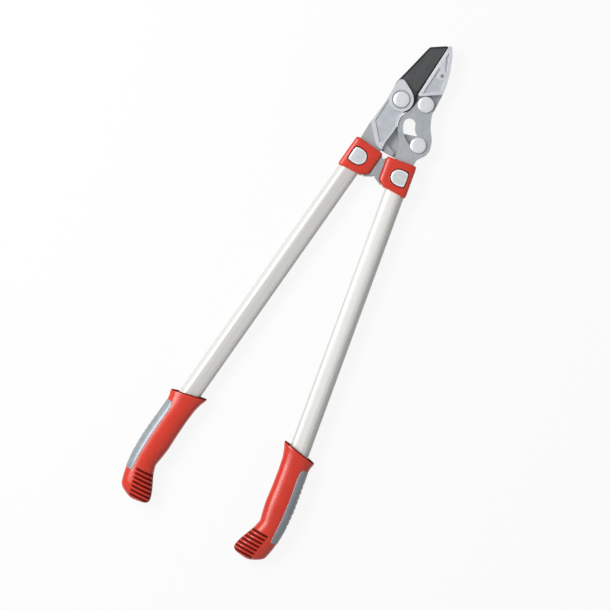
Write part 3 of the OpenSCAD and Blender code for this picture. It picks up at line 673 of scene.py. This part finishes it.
def turned_pins_tree():
    """Pins turned on a lathe, one at each point: a round-edged head on its seat, with a shank below."""
    r = Recipe("turned_pins", {
        "Head Radius": "Float", "Head Height": "Float", "Edge Power": "Float", "Shank Radius": "Float",
        "Around": "Int", "Rings": "Int", "Finish": "Material",
    })
    sheet = r.add("GeometryNodeMeshGrid", {
        "Size X": 1.0, "Size Y": 1.0, "Vertices X": r.given["Around"], "Vertices Y": r.given["Rings"],
    })
    spot = r.add("ShaderNodeSeparateXYZ", {0: r.add("GeometryNodeInputPosition").outputs["Position"]})
    turn = r.ranged(spot.outputs["X"], 0.0, 2 * pi, -0.5, 0.5)
    climb = r.ranged(spot.outputs["Y"], 0.0, pi / 2, -0.5, 0.5)
    bend = r.total(2.0, r.given["Edge Power"], "DIVIDE")
    flat = r.total(r.total(r.total(climb, 0.0, "COSINE"), 0.0, "MAXIMUM"), bend, "POWER")
    high = r.total(r.total(climb, 0.0, "SINE"), bend, "POWER")
    radius = r.times(flat, r.given["Head Radius"])
    lathe = r.add("ShaderNodeCombineXYZ", {
        "X": r.times(radius, r.total(turn, 0.0, "COSINE")),
        "Y": r.times(radius, r.total(turn, 0.0, "SINE")),
        "Z": r.times(high, r.given["Head Height"]),
    })
    dome = r.add("GeometryNodeSetPosition", {
        "Geometry": sheet.outputs["Mesh"], "Position": lathe.outputs["Vector"],
    })
    seat = r.add("GeometryNodeMeshCircle", {
        "Vertices": r.total(r.given["Around"], 1.0, "SUBTRACT"), "Radius": r.given["Head Radius"],
    }, fill_type="NGON")
    under = r.add("GeometryNodeFlipFaces", {"Mesh": seat.outputs["Mesh"]})
    closed = r.add("GeometryNodeMergeByDistance", {
        "Geometry": r.joined(dome.outputs["Geometry"], under.outputs["Mesh"]), "Distance": same_spot,
    })
    point = r.add("GeometryNodeInputPosition").outputs["Position"]
    level = r.add("ShaderNodeVectorMath", {0: point, 1: (1, 1, 0)}, operation="MULTIPLY")
    far = r.add("ShaderNodeVectorMath", {0: level.outputs["Vector"]}, operation="LENGTH")
    head = r.stored(closed.outputs["Geometry"], "turned", far.outputs["Value"])
    rod = r.add("GeometryNodeMeshCylinder", {
        "Vertices": shank_sides, "Radius": r.given["Shank Radius"], "Depth": 1.0,
    })
    hung = r.add("GeometryNodeTransform", {"Geometry": rod.outputs["Mesh"], "Translation": (0, 0, -0.5)})
    length = r.add("ShaderNodeCombineXYZ", {"X": 1.0, "Y": 1.0, "Z": r.mark("shank")})
    heads = r.add("GeometryNodeInstanceOnPoints", {"Points": r.given["Geometry"], "Instance": head})
    shanks = r.add("GeometryNodeInstanceOnPoints", {
        "Points": r.given["Geometry"], "Instance": hung.outputs["Geometry"],
        "Scale": length.outputs["Vector"],
    })
    r.close(r.joined(heads.outputs["Instances"], shanks.outputs["Instances"]))
    return r


# Grips and pads, drawn along a handle as the solids are
grip_len = 162 * mm
grip_w = 37 * mm
grip_h = 31 * mm
grip_power = 2.25
grip_outer_shares = [
    (0, 0.648), (0.01, 0.676), (0.02, 0.667), (0.06, 0.605), (0.12, 0.568), (0.22, 0.573), (0.35, 0.578),
    (0.49, 0.576), (0.58, 0.549), (0.66, 0.516), (0.73, 0.465), (0.8, 0.4), (0.86, 0.324),
    (0.91, 0.243), (0.95, 0.165), (0.975, 0.02), (0.99, -0.16), (1, -0.32),
]
grip_inner_shares = [
    (0, 0.622), (0.01, 0.65), (0.02, 0.64), (0.06, 0.57), (0.12, 0.515), (0.22, 0.5), (0.35, 0.51),
    (0.49, 0.54), (0.58, 0.52), (0.66, 0.49), (0.73, 0.615), (0.8, 0.8), (0.86, 0.953),
    (0.91, 1.05), (0.95, 1.075), (0.975, 0.95), (0.99, 0.74), (1, 0.54),
]
grip_thick_shares = [
    (0, 0.94), (0.01, 0.986), (0.02, 0.982), (0.06, 0.94), (0.15, 0.89), (0.3, 0.91), (0.5, 0.94),
    (0.66, 0.92), (0.8, 0.9), (0.9, 0.86), (0.95, 0.76), (0.975, 0.6), (0.99, 0.38), (1, 0.2),
]
grip_tilt_shares = [(0, 0.33), (0.05, 0.3), (0.12, 0.22), (0.22, 0.12), (0.35, 0.05), (0.49, 0), (1, 0)]
tube_shares = [
    (1, 0), (0.995, 0.22), (0.97, 0.36), (0.9, 0.52), (0.54, 0.94), (0.48, 0.99), (0.41, 1),
    (0.32, 0.99), (0, 0.925), (-0.5, 0.8), (-0.84, 0.66), (-0.94, 0.55), (-0.985, 0.38), (-1, 0.2),
]
tube_points = 160
tube_roll = 6
tube_crease = 35
grip_around = 120
# Stretches down the grip: start, end and rows, which lie closer at the flare, the grooves and the end
grip_stretches = ((0, 0.018, 9), (0.018, 0.06, 10), (0.06, 0.74, 64), (0.74, 0.95, 96), (0.95, 1, 34))
groove_rows = 7
groove_v_shares = (0.767, 0.986)
groove_u_shares = (0.038, -0.27)
groove_tilt_share = 0.145
groove_w = 3.8 * mm
groove_depth = 1.1 * mm
groove_fade = 2.4 * mm
groove_side_share = 0.3
# The hollow mouth of the grip: rows on the tube, then rings up to the lip, grown from the skin and sunk
mouth_gap = 0.4 * mm
mouth_sinks = (14 * mm, 8 * mm)
mouth_steps = [
    (-6.5 * mm, 7 * mm), (-3.6 * mm, 4.6 * mm), (-2.3 * mm, 2 * mm), (-1.7 * mm, 0.3 * mm),
    (-1.2 * mm, 0), (-0.3 * mm, 0),
]
# The lip is darkened with painted shade to the difference of these shares of the grip's length, and red
# from the first on
lip_red_share, lip_fade_share = 0.012, 0.004
pad_from_share = 0.108
pad_to_share = 0.806
pad_edge_shares = [
    (0.1, 0.38), (0.13, 0.325), (0.16, 0.285), (0.217, 0.265), (0.31, 0.272), (0.43, 0.272),
    (0.53, 0.255), (0.62, 0.225), (0.7, 0.188), (0.765, 0.155), (0.806, 0.145),
]
pad_proud = 0.5 * mm
pad_sunk = 0.7 * mm
pad_t = 2.2 * mm
pad_bed = 1.8 * mm
pad_seat = 1.2 * mm
pad_rim = 1.3 * mm
pad_top_r = 6 * mm
pad_end_r = 3.5 * mm
pad_corner_power = 6
# Painted shade in the pad's seam, and the share of its rim that the seam covers
pad_seam_shade = 0.8
pad_seam_share = 0.5
pad_rows, pad_columns = 300, 40
# The first row of the pad lies this share of a row inside its end
pad_skip = 0.02
notch_rows = 9
notch_from = 39.4 * mm
notch_pitch = 7.8 * mm
notch_w = 2.2 * mm
notch_depth = 0.9 * mm
notch_fade = 3 * mm
notch_side_share = 1.0
notch_angle = radians(28)


def tube_outline(grow=0.0):
    """The tube's section: a ridge off the middle of each face, and rounded sides."""
    upper = [(u * (tube_w / 2 + grow), z * (tube_h / 2 + grow)) for u, z in tube_shares]
    loop = resampled(rounded_loop(upper + [(u, -z) for u, z in reversed(upper[1:])], 2), tube_points)
    loop = rolled_over(rolled_over(loop, tube_roll), tube_roll)
    wide, high = (max(abs(p[axis]) for p in loop) for axis in (0, 1))
    return [(u * (tube_w / 2 + grow) / wide, z * (tube_h / 2 + grow) / high) for u, z in loop]


def grip_section(s):
    """Middle, half width, half thickness and tilt of the grip at one place down its length."""
    outer = eased(grip_outer_shares, s) * grip_w
    inner = eased(grip_inner_shares, s) * grip_w
    thick = eased(grip_thick_shares, s) * grip_h / 2
    return (outer - inner) / 2, (outer + inner) / 2, thick, eased(grip_tilt_shares, s)


def under_pad(section, s, a):
    """How far the grip's skin is let in to take the pad, from 0 to 1."""
    u = section[0] + bent(cos(a), grip_power) * section[1]
    inside = min(u - eased(pad_edge_shares, s) * grip_w, (s - pad_from_share) * grip_len,
                 (pad_to_share - s) * grip_len)
    return max(0.0, min(1.0, inside / pad_seat - 1))


def grip_point(section, s, a, grow=0.0):
    """A point on the grip's skin, or above it."""
    middle, half, thick, tilt = section
    u = middle + bent(cos(a), grip_power) * (half + grow)
    return u, -(grip_from + s * grip_len + tilt * u), bent(sin(a), grip_power) * (thick + grow)


def spread_places(*stretches):
    """Places down a length, from stretches that each give a start, an end and a count."""
    places = [start + (end - start) * k / count for start, end, count in stretches for k in range(count)]
    return places + [stretches[-1][1]]


def grip(side_name):
    """The red moulding: flared at the tube, bent in at the end, with cross grooves there."""
    angles = [2 * pi * j / grip_around for j in range(grip_around)]
    rows, hollow = [], []
    mouth = resampled(tube_outline(mouth_gap), grip_around)
    tilt = grip_tilt_shares[0][1]
    for sink in mouth_sinks:
        rows.append([(u, -(grip_from + sink + tilt * u), z) for u, z in mouth])
    for grow, sink in mouth_steps:
        ring = [grip_point(grip_section(0), 0, a, grow) for a in angles]
        rows.append([(u, y - sink, z) for u, y, z in ring])
    # The mouth's rows take full painted shade
    hollow += [1.0] * grip_around * len(rows)
    for s in spread_places(*grip_stretches):
        section = grip_section(s)
        rows.append([grip_point(section, s, a, -pad_bed * under_pad(section, s, a)) for a in angles])
        # Painted shade on the lip, fading out down the grip
        hollow += [max(0.0, min(1.0, (lip_red_share - s) / lip_fade_share))] * grip_around
    points = [p for row in rows for p in row]
    faces = closed_skin(len(rows), grip_around)
    thing = on_handle(side_name + "_grip_moulding", sides[side_name], points, faces, red)
    first, last = (grip_from + share * grip_len for share in groove_v_shares)
    first_end, last_end = groove_u_shares
    along, across = [], []
    for u, y, z in points:
        v = -y - groove_tilt_share * u
        end_share = first_end + (last_end - first_end) * (v - first) / (last - first)
        along.append(v)
        across.append(u - end_share * grip_w)
    keep_marks(thing, along=along, across=across, hollow=hollow)
    carved_rows.run(thing, {
        "First": first, "Pitch": (last - first) / (groove_rows - 1), "Rows": float(groove_rows),
        "Width": groove_w, "Depth": groove_depth, "Fade": groove_fade, "Side Share": groove_side_share,
        "Finish": red,
    })
    stands_for(thing, "red_plastic", side_name + "_grip")


def grip_pad(side_name):
    """The soft pad let into the outer side, rounded down at its rim and notched along its outer face."""
    points, along, across, hollow = [], [], [], []
    for i in range(pad_rows + 1):
        s = pad_from_share + (pad_to_share - pad_from_share) * (i + pad_skip) / (pad_rows + 2 * pad_skip)
        section = grip_section(s)
        middle, half = section[0], section[1]
        share = max(-1, min(1, (eased(pad_edge_shares, s) * grip_w - middle) / half))
        reach = acos((1 if share >= 0 else -1) * abs(share) ** (grip_power / 2))
        top, bottom = (s - pad_from_share) * grip_len, (pad_to_share - s) * grip_len
        for gap, radius in ((top, pad_top_r), (bottom, pad_end_r)):
            if gap < radius:
                reach *= (1 - (1 - gap / radius) ** pad_corner_power) ** (1 / pad_corner_power)
        for face in (1, -1):
            for j in range(pad_columns + 1):
                t = sin(pi / 2 * (2 * j / pad_columns - 1)) * face
                a = reach * t
                inset = min((1 - abs(t)) * reach * half, top, bottom)
                lift = sqrt(1 - (1 - min(inset / pad_rim, 1)) ** 2)
                grow = lift * (pad_proud + pad_sunk) - pad_sunk if face > 0 else -pad_t
                points.append(grip_point(section, s, a, grow))
                along.append(s * grip_len)
                across.append((abs(a) - notch_angle) * half if face > 0 else half)
                # A seam of painted shade runs round the pad's rim; the underside takes it in full
                seam = 1 - min(inset / (pad_seam_share * pad_rim), 1) if face > 0 else 1
                hollow.append(pad_seam_shade * seam)
    faces = closed_skin(pad_rows + 1, 2 * (pad_columns + 1))
    thing = on_handle(side_name + "_pad_moulding", sides[side_name], points, faces, pad_grey)
    keep_marks(thing, along=along, across=across, hollow=hollow)
    carved_rows.run(thing, {
        "First": notch_from, "Pitch": notch_pitch, "Rows": float(notch_rows), "Width": notch_w,
        "Depth": notch_depth, "Fade": notch_fade, "Side Share": notch_side_share, "Finish": pad_grey,
    })
    stands_for(thing, "pad_rubber", side_name + "_grip_pad")


def tube(side_name):
    """The drawn tube, open at both ends inside the collar and the grip."""
    outer, inner = tube_outline(), tube_outline(-tube_wall)
    ends = (tube_from, grip_from + tube_in_grip)
    loops = [(outer, ends[0]), (outer, ends[1]), (inner, ends[1]), (inner, ends[0]), (outer, ends[0])]
    points = [(u, -v, z) for loop, v in loops for u, z in loop]
    faces = skin(len(loops), tube_points)
    thing = on_handle(side_name + "_tube_drawn", sides[side_name], points, faces, tube_finish[side_name])
    weld(thing, tube_crease)
    stands_for(thing, "satin_aluminium", side_name + "_tube")


# Collars and their caps
collar_w = 43.6 * mm
collar_shift = 5.4 * mm
collar_len = 43 * mm
collar_h = 27 * mm
collar_power = 7
collar_slant_share = 0.15
collar_crown = 0.07
collar_ease = 0.02
collar_crease = 40
collar_around = 128
# Stretches down the collar: start, end and rows
collar_stretches = ((0, 0.16, 14), (0.16, 0.6, 12), (0.6, 0.94, 22), (0.94, 1, 10))
collar_inner_shares = [
    (0, 0.46), (0.02, 0.485), (0.06, 0.497), (0.14, 0.5), (0.84, 0.5), (0.89, 0.44), (0.945, 0.37),
    (0.982, 0.32), (1, 0.285),
]
collar_outer_shares = [
    (0, 0.46), (0.02, 0.485), (0.06, 0.497), (0.14, 0.5), (0.89, 0.5), (0.945, 0.497), (0.982, 0.485),
    (1, 0.46),
]
collar_thick_shares = [
    (0, 0.87), (0.02, 0.945), (0.06, 0.985), (0.14, 1), (0.89, 1), (0.945, 0.985), (0.982, 0.945),
    (1, 0.87),
]
cap_shares = [
    (0.44, -0.46), (0.5, -0.36), (0.5, 0.34), (0.42, 0.44), (0.02, 0.5), (-0.28, 0.42), (-0.47, 0.17),
    (-0.48, -0.15), (-0.28, -0.41), (0.04, -0.5), (0.36, -0.48),
]
cap_w = 23 * mm
cap_proud = 0.7 * mm
cap_edge = 1.5 * mm
cap_crown = 0.3 * mm
cap_steps = 7
cap_crease = 50
# The cap's round: how far below the top it starts and its height, in edges, and where its last ring lies
cap_rim_share, cap_round_share, cap_flat_share = 1.2, 0.9, 0.46
cap_shift_share = 0.14
cap_place_share = 0.52
window_gap = 1.4 * mm
window_depth = 2 * mm
window_bed = collar_h / 2 - window_depth
window_x = -collar_shift + cap_w * cap_shift_share
window_y = -collar_len * cap_place_share
window_points = 96
# Points this near the bed's height, and this near the window's middle, lie on its floor, which takes
# painted shade
bed_reach = 0.1 * mm
bed_reach_share = 0.7
# The bead round a window: radius, points round it, and how far out and down it lies, in radii
lip_r = 0.5 * mm
lip_ring = 12
lip_out_share, lip_down_share = 0.7, 0.72


def window_outline(grow):
    """The cap's rounded plan, grown or shrunk all round."""
    size = cap_w + 2 * grow
    loop = rounded_loop([(x * size, y * size) for x, y in cap_shares], 3)
    return [(window_x + x, window_y + y) for x, y in resampled(loop, window_points)]


def collar_section(s):
    """Middle, half width and half thickness of the collar at one place down its length."""
    inner = eased(collar_inner_shares, s, collar_ease) * collar_w
    outer = eased(collar_outer_shares, s, collar_ease) * collar_w
    thick = eased(collar_thick_shares, s, collar_ease) * collar_h / 2
    return (outer - inner) / 2, (outer + inner) / 2, thick


def collar_point(s, a):
    """A point on the collar's skin; its rows slant a little down the outer side."""
    middle, half, thick = collar_section(s)
    across = bent(cos(a), collar_power)
    u = middle + across * half
    high = bent(sin(a), collar_power) * thick * (1 - collar_crown * across ** 2)
    return u - collar_shift, -s * (collar_len + u * collar_slant_share), high


def collar_front(x, y):
    """Height of the collar's front above its middle plane."""
    u = x + collar_shift
    s = -y / (collar_len + u * collar_slant_share)
    middle, half, thick = collar_section(s)
    across = (u - middle) / half
    edge = max(0.0, 1 - abs(across) ** collar_power) ** (1 / collar_power)
    return thick * edge * (1 - collar_crown * across ** 2)


def collar(side_name):
    """The red collar: a rounded block with a sunk window, front and back, a soft lip round each, and
    painted shade on each window's floor.
    """
    side = sides[side_name]
    places = spread_places(*collar_stretches)
    angles = [2 * pi * j / collar_around for j in range(collar_around)]
    points = [collar_point(s, a) for s in places for a in angles]
    faces = closed_skin(len(places), collar_around)
    thing = on_handle(side_name + "_collar_moulding", side, points, faces, red)
    hole = window_outline(window_gap)
    cutters = []
    for low, high in ((window_bed, collar_h), (-collar_h, -window_bed)):
        cutter = on_handle("cutter", side, *prism(hole, low, high), red)
        cutters.append(cutter)
        cut = thing.modifiers.new("window", "BOOLEAN")
        cut.object = cutter
        cut.solver = "EXACT"
    settled(thing)
    for cutter in cutters:
        bpy.data.objects.remove(cutter)
    lips = [on_handle("lip", side, *window_lip(face), red) for face in (1, -1)]
    join(thing, lips)
    weld(thing, collar_crease)
    back = handle_frame(side).inverted()
    middle = Vector((window_x, window_y))
    # The windows' floors are marked for painted shade
    carved = []
    for v in thing.data.vertices:
        p = back @ v.co
        near = (p.xy - middle).length < bed_reach_share * cap_w
        carved.append(1.0 if near and abs(abs(p.z) - window_bed) < bed_reach else 0.0)
    keep_marks(thing, carved=carved)
    stands_for(thing, "red_plastic", side_name + "_collar")


def window_lip(face):
    """A fine rounded bead that runs round a window, level with the collar's skin."""
    path = window_outline(window_gap + lip_r * lip_out_share)
    angles = [2 * pi * m / lip_ring for m in range(lip_ring)]
    points = []
    for k, (x, y) in enumerate(path):
        ahead, behind = path[(k + 1) % window_points], path[k - 1]
        run = Vector((ahead[0] - behind[0], ahead[1] - behind[1])).normalized()
        z = collar_front(x, y) - lip_r * lip_down_share
        for a in angles:
            out = cos(a) * lip_r
            points.append((x + run.y * out, y - run.x * out, face * (z + sin(a) * lip_r)))
    faces = skin(window_points, lip_ring)
    last = (window_points - 1) * lip_ring
    faces += [(last + m, last + (m + 1) % lip_ring, (m + 1) % lip_ring, m) for m in range(lip_ring)]
    return points, faces if face < 0 else turned_over(faces)


def collar_caps(side_name):
    """The silver caps in both windows: rounded at the rim, gently crowned."""
    side = sides[side_name]
    rim = collar_h / 2 + cap_proud - cap_edge * cap_rim_share
    rings = [(0.0, window_bed)]
    for k in range(cap_steps + 1):
        turn = pi / 2 * k / cap_steps
        rings.append((cap_edge * (1 - cos(turn)), rim + cap_edge * cap_round_share * sin(turn)))
    shoulder = rings[-1][1]
    for k in range(1, cap_steps + 1):
        share = k / cap_steps
        inset = cap_edge + (cap_w * cap_flat_share - cap_edge) * share
        rings.append((inset, shoulder + cap_crown * (1 - (1 - share) ** 2)))
    plan = window_outline(0.0)
    points, faces, worn = [], [], []
    for face in (1, -1):
        first = len(points)
        for inset, z in rings:
            shrink = 1 - 2 * inset / cap_w
            # The rounded rim is marked for a painted highlight
            worn += [1.0 if inset < cap_edge else 0.0] * window_points
            points += [(window_x + (x - window_x) * shrink, window_y + (y - window_y) * shrink, face * z)
                       for x, y in plan]
        shell = closed_skin(len(rings), window_points, first)
        faces += shell if face > 0 else turned_over(shell)
    thing = on_handle(side_name + "_cap_pair", side, points, faces, cap_finish)
    keep_marks(thing, worn=worn)
    thing.data.set_sharp_from_angle(angle=radians(cap_crease))
    stands_for(thing, "cap_silver", side_name + "_collar_caps")


# Head pieces
pin_head_h = 3.6 * mm
pin_d = 10 * mm
pin_edge_power = 4.2
pin_around, pin_rings = 97, 26
pin_crease = 40
# The blade: its rounds, the near-black band round its faces, partly painted shade, and which faces count
# as flats
blade_r = 0.35 * mm
blade_steps = 2
band_w = 2.8 * mm
flat_from = 0.93
least_flat = (4 * mm) ** 2
# Plates: how far the rims of castings are rubbed bright, partly as a painted highlight
cast_rim_wear_and_sheen = 0.4
# Bumpers: their rounds, which points face the other bumper, and how far these stay from the middle
bumper_r = 1.2 * mm
bumper_reach = 0.4 * mm
bumper_gap = 0.03 * mm


def turned_pins(name, slot, *bolts):
    """The bright pivot pins of one body, on the places of their nodes."""
    seats, shanks = [], []
    for bolt in bolts:
        low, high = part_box(bolt)
        seats.append(((low.x + high.x) / 2, (low.y + high.y) / 2, high.z - pin_head_h))
        shanks.append(high.z - pin_head_h - low.z)
    low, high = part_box(bolts[0])
    thing = shaped(name, seats, [], pin_finish)
    keep_marks(thing, shank=shanks)
    pins.run(thing, {
        "Head Radius": (high.x - low.x) / 2, "Head Height": pin_head_h, "Edge Power": pin_edge_power,
        "Shank Radius": pin_d / 2, "Around": pin_around, "Rings": pin_rings, "Finish": pin_finish,
    })
    weld(thing, pin_crease)
    stands_for(thing, slot, *bolts)


def blade():
    """The coated blade, with its ground edge and a near-black band round its faces, partly painted shade
    along its edges.
    """
    thing = softened("blade", blade_r, coating, blade_steps)
    thing.data.materials.append(edge_shade_band)
    shape = bmesh.new()
    shape.from_mesh(thing.data)
    flats = [f for f in shape.faces if abs(f.normal.z) > flat_from and f.calc_area() > least_flat]
    # The band round the flats: partly the ground edge, partly painted shade
    bmesh.ops.inset_region(shape, faces=flats, thickness=band_w, use_even_offset=False)
    for face in shape.faces:
        face.material_index = 0 if face in flats else 1
    shape.to_mesh(thing.data)
    shape.free()
    stands_for(thing, "blade_coating", "blade")


def plates():
    """The cast and forged plates, with their edges rounded as the mould and the die leave them."""
    for node, radius, finish, slot in (
        ("blade_lever", 1.1 * mm, cast, "cast_silver"),
        ("anvil_jaw", 0.9 * mm, cast, "cast_silver"),
        ("slotted_lever", 1.6 * mm, forged, "lever_steel"),
        ("anvil_strip", 0.7 * mm, strip, "soft_strip"),
    ):
        stands_for(softened(node, radius, finish, top_rim_wear_and_sheen=cast_rim_wear_and_sheen if finish is cast else 0.0), slot, node)


def bumpers():
    """The rubber stops, whose faces all but meet when the handles are closed."""
    for side_name, side in sides.items():
        thing = softened(side_name + "_bumper", bumper_r, rubber)
        for v in thing.data.vertices:
            if (v.co.x - handle_mid_x) * side < bumper_reach:
                v.co.x = handle_mid_x + side * bumper_gap
        stands_for(thing, "grey_rubber", side_name + "_bumper")


def plain_nodes():
    """Nodes whose shape is right as it is take a finish of their own."""
    for finish, names in (
        (zinc, ("main_pivot_washer", "main_pivot_nut", "cam_nut", "link_pivot_nut", "blade_screw",
                "anvil_screw", "left_tube_rivet", "right_tube_rivet")),
        (bush, ("cam_sleeve", "anvil_bush", "lever_bush")),
    ):
        for name in names:
            for place in nodes[name].material_slots:
                place.material = finish


# Stage, light and camera
floor_size = 8
floor_grey = (0.55, 0.55, 0.55)
# Where the floor is seen: the strength of its white, and the share of it over the lit grey
floor_white, floor_white_share = 1.06, 0.85
wall_light = 0.28
lamp_aim = Vector((0, -0.3, 0))
lens, sensor_width = 120, 36
view_point = (13.9 * mm, -310.1 * mm)
view_turn = radians(27.7)
view_width = 836.3 * mm


def seen_directly(w):
    """Is the ray one that shows a surface: from the camera, a mirror or through glass?"""
    path = w.add("ShaderNodeLightPath").outputs
    mirrored = w.total(path["Is Glossy Ray"], path["Is Transmission Ray"], "MAXIMUM")
    return w.total(path["Is Camera Ray"], mirrored, "MAXIMUM")


def floor():
    """A plain pale floor that keeps the tool's shadow."""
    half = floor_size / 2
    low = cad_box[0].z
    corners = [(-half, -half, low), (half, -half, low), (half, half, low), (-half, half, low)]
    pale = Finish("pale_floor", floor_grey, 0.9)
    glow = pale.add("ShaderNodeEmission", {"Color": (1, 1, 1, 1), "Strength": floor_white})
    blend = pale.add("ShaderNodeMixShader", {
        0: pale.times(seen_directly(pale), floor_white_share), 1: pale.shader.outputs["BSDF"],
        2: glow.outputs["Emission"],
    })
    pale.feed(pale.tree.nodes["Material Output"].inputs["Surface"], blend.outputs["Shader"])
    shaped("floor", corners, [(0, 1, 2, 3)], pale.material)


class Sky(Wiring):
    """The studio's white walls: full white where they are seen, softer as light on the tool."""

    def __init__(self):
        world = bpy.data.worlds.new("studio")
        bpy.context.scene.world = world
        world.use_nodes = True
        self.tree = world.node_tree
        plain = self.tree.nodes["Background"]
        plain.inputs["Color"].default_value = (1, 1, 1, 1)
        self.feed(plain.inputs["Strength"], self.ranged(seen_directly(self), wall_light, 1.0))


def lamp(name, place, size, power, gloss_only=False):
    """A soft rectangular lamp aimed at the tool, which may serve the shine alone."""
    data = bpy.data.lights.new(name, "AREA")
    data.shape = "RECTANGLE"
    data.size, data.size_y = size
    data.energy = power
    thing = bpy.data.objects.new(name, data)
    thing.visible_diffuse = not gloss_only
    bpy.context.collection.objects.link(thing)
    thing.location = place
    thing.rotation_euler = (lamp_aim - Vector(place)).to_track_quat("-Z", "Y").to_euler()


def camera():
    """Looks straight down on the tool, turned as the photograph is."""
    data = bpy.data.cameras.new("camera")
    data.lens = lens
    data.sensor_width = sensor_width
    distance = view_width * lens / sensor_width
    thing = bpy.data.objects.new("camera", data)
    thing.location = (*view_point, mid_z + distance)
    thing.rotation_euler = (0, 0, view_turn)
    bpy.context.collection.objects.link(thing)
    bpy.context.scene.camera = thing


camera()
Sky()
floor()
lamp("softbox", (-1.15, -0.3, 1.2), (1.6, 0.7), 27.5)
lamp("shine_board", (-0.74, -0.3, 1.5), (1.6, 0.45), 3.5, gloss_only=True)
bpy.context.scene.view_settings.view_transform = "Standard"

cast, forged, coating, edge_shade_band = cast_silver(), lever_steel(), blade_coating(), ground_and_shade_band()
pin_finish, zinc, bush, strip = polished_pin(), zinc_steel(), bronze(), soft_strip()
red, cap_finish, rubber, pad_grey = red_plastic(), cap_silver(), grey_rubber(), pad_rubber()
tube_finish = {name: satin_aluminium(name) for name in sides}
carved_rows, pins = carved_rows_tree(), turned_pins_tree()

blade()
plates()
bumpers()
plain_nodes()
turned_pins("blade_handle_pins", "polished_steel", "main_pivot_bolt", "cam_pin")
turned_pins("anvil_pins", "polished_steel", "link_pivot_bolt")
for side_name in sides:
    tube(side_name)
    collar(side_name)
    collar_caps(side_name)
    grip(side_name)
    grip_pad(side_name)
